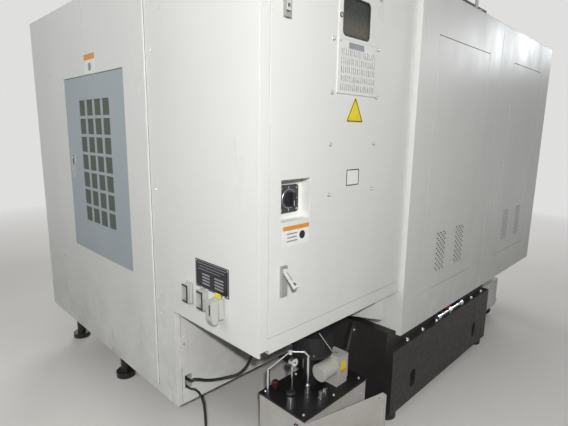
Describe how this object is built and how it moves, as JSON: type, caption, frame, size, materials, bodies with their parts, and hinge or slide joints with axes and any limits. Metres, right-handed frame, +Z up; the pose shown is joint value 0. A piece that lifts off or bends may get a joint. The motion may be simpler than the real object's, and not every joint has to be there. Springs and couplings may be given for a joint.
{
  "type": "cnc machining center",
  "caption": "Enclosed vertical machining center with work table, spindle head, tool magazine, electrical cabinet and hydraulic unit.",
  "frame": {"origin": "middle of the footprint on the floor", "axes": "+X to the right-hand end seen from the operator, +Y to the rear, +Z up; the operator stands on the -Y side"},
  "size_m": [3.265, 2.6694, 2.56],
  "materials": {
    "white_paint": "satin",
    "hatch_paint": "satin",
    "casting": "satin paint",
    "steel": "ground",
    "motor": "matte",
    "filter": "open mat",
    "grey_metal": "satin",
    "glass": "clear",
    "black_plastic": "matte",
    "rubber": "matte",
    "grey_plastic": "matte",
    "red_plastic": "gloss",
    "chrome": "bright"
  },
  "bodies": {
    "frame": {"base_casting": "casting", "levelling_pads": "casting", "column_casting": "casting", "guide_rails": "steel", "axis_motors": "motor", "splash_sheets": "white_paint", "magazine_rail": "casting", "enclosure_frame": "white_paint", "right_end_skin": "white_paint", "right_end_cover": "white_paint", "far_end_skin": "white_paint", "rear_panels": "white_paint", "service_panels": "white_paint", "end_rear_wall": "white_paint", "roof_panels": "white_paint", "front_panels": "white_paint", "cabinet_shell": "white_paint", "drive_rack": "grey_plastic", "connector_housings": "grey_metal", "locking_levers": "black_plastic", "hydraulic_tank": "white_paint", "pump_motor": "motor", "hydraulic_valves": "grey_metal", "pipes": "chrome", "skirt_panel": "white_paint", "coolant_tank": "white_paint", "caster_wheels": "rubber", "power_cables": "rubber", "signal_lamp": "grey_plastic", "pendant_arm": "white_paint"},
    "saddle": {"saddle": "casting", "way_cover_moving": "steel"},
    "table": {"work_table": "steel"},
    "cover_middle": {"way_cover_middle": "steel"},
    "screw_y": {"ball_screw_y": "steel"},
    "screw_x": {"ball_screw_x": "steel"},
    "screw_z": {"ball_screw_z": "steel"},
    "head": {"spindle_head": "white_paint"},
    "spindle": {"spindle_shaft": "steel"},
    "magazine": {"magazine_carriage": "casting"},
    "disc": {"tool_disc": "steel", "tool_holders": "steel"},
    "door_left": {"left_door": "white_paint", "left_window": "glass"},
    "door_right": {"right_door": "white_paint", "right_window": "glass"},
    "hatch": {"vent_hatch": "hatch_paint", "hatch_filter": "filter"},
    "latch": {"hatch_latch": "grey_metal"},
    "cabinet_door": {"cabinet_door": "white_paint", "cooling_unit": "white_paint", "handle_plates": "black_plastic", "switch_plate": "black_plastic"},
    "fan": {"cooling_fan": "black_plastic"},
    "lever_upper": {"upper_lever": "grey_metal"},
    "lever_lower": {"lower_lever": "grey_metal"},
    "knob": {"switch_knob": "black_plastic"},
    "pendant": {"pendant": "grey_plastic"},
    "stop_button": {"emergency_stop": "red_plastic"},
    "feed_knob": {"feed_knob": "black_plastic"}
  },
  "joints": [
    {"name": "y_slide", "type": "slide", "parent": "frame", "child": "saddle", "axis": [0, 1, 0], "range_m": [-0.24, 0.24]},
    {"name": "x_slide", "type": "slide", "parent": "saddle", "child": "table", "axis": [1, 0, 0], "range_m": [-0.5, 0.5]},
    {"name": "z_slide", "type": "slide", "parent": "frame", "child": "head", "axis": [0, 0, 1], "range_m": [-0.3, 0.25]},
    {"name": "spindle_spin", "type": "hinge", "parent": "head", "child": "spindle", "pos_m": [-0.0465, -0.22469, 1.34], "axis": [0, 0, 1], "continuous": true},
    {"name": "cover_slide", "type": "slide", "parent": "frame", "child": "cover_middle", "axis": [0, 1, 0], "range_m": [-0.12, 0.12]},
    {"name": "screw_y_spin", "type": "hinge", "parent": "frame", "child": "screw_y", "pos_m": [-0.0465, -0.22469, 0.5], "axis": [0, 1, 0], "continuous": true},
    {"name": "screw_x_spin", "type": "hinge", "parent": "saddle", "child": "screw_x", "pos_m": [-0.0465, -0.22469, 0.684], "axis": [1, 0, 0], "continuous": true},
    {"name": "screw_z_spin", "type": "hinge", "parent": "frame", "child": "screw_z", "pos_m": [-0.0465, 0.46531, 1.6], "axis": [0, 0, 1], "continuous": true},
    {"name": "magazine_slide", "type": "slide", "parent": "frame", "child": "magazine", "axis": [1, 0, 0], "range_m": [0, 0.42]},
    {"name": "disc_spin", "type": "hinge", "parent": "magazine", "child": "disc", "pos_m": [-0.7965, -0.22469, 1.2], "axis": [0, 0, 1], "continuous": true},
    {"name": "door_left_slide", "type": "slide", "parent": "frame", "child": "door_left", "axis": [-1, 0, 0], "range_m": [0, 0.6]},
    {"name": "door_right_slide", "type": "slide", "parent": "frame", "child": "door_right", "axis": [1, 0, 0], "range_m": [0, 0.6]},
    {"name": "hatch_hinge", "type": "hinge", "parent": "frame", "child": "hatch", "pos_m": [1.572, 0.23781, 1.348], "axis": [0, 0, 1], "range_deg": [0, 110]},
    {"name": "latch_hinge", "type": "hinge", "parent": "hatch", "child": "latch", "pos_m": [1.5715, -0.47969, 1.4], "axis": [0, -1, 0], "range_deg": [0, 30], "stiffness_Nm_per_rad": 1},
    {"name": "cabinet_door_hinge", "type": "hinge", "parent": "frame", "child": "cabinet_door", "pos_m": [0.604, 1.19881, 1.5], "axis": [0, 0, 1], "range_deg": [0, 100]},
    {"name": "fan_spin", "type": "hinge", "parent": "cabinet_door", "child": "fan", "pos_m": [1.0485, 1.17031, 2.032], "axis": [0, 1, 0], "continuous": true},
    {"name": "lever_upper_hinge", "type": "hinge", "parent": "cabinet_door", "child": "lever_upper", "pos_m": [1.4515, 1.21131, 2.043], "axis": [1, 0, 0], "range_deg": [0, 70]},
    {"name": "lever_lower_hinge", "type": "hinge", "parent": "cabinet_door", "child": "lever_lower", "pos_m": [1.4515, 1.21131, 1.063], "axis": [1, 0, 0], "range_deg": [-49, 10]},
    {"name": "knob_turn", "type": "hinge", "parent": "cabinet_door", "child": "knob", "pos_m": [1.3865, 1.18331, 1.317], "axis": [0, -1, 0], "range_deg": [0, 90]},
    {"name": "pendant_swivel", "type": "hinge", "parent": "frame", "child": "pendant", "pos_m": [1.3705, -1.25469, 1.76], "axis": [0, 0, 1], "range_deg": [0, 80]},
    {"name": "stop_press", "type": "slide", "parent": "pendant", "child": "stop_button", "axis": [0, 1, 0], "range_m": [0, 0.008], "stiffness_N_per_m": 800},
    {"name": "feed_turn", "type": "hinge", "parent": "pendant", "child": "feed_knob", "pos_m": [1.0105, -1.30469, 1.02], "axis": [0, 1, 0], "range_deg": [-150, 150]}
  ],
  "couplings": [
    {"joint": "cover_slide", "follows": "y_slide", "ratio": 0.5},
    {"joint": "screw_y_spin", "follows": "y_slide", "rad_per_m": 314.16},
    {"joint": "screw_x_spin", "follows": "x_slide", "rad_per_m": 314.16},
    {"joint": "screw_z_spin", "follows": "z_slide", "rad_per_m": 314.16}
  ]
}
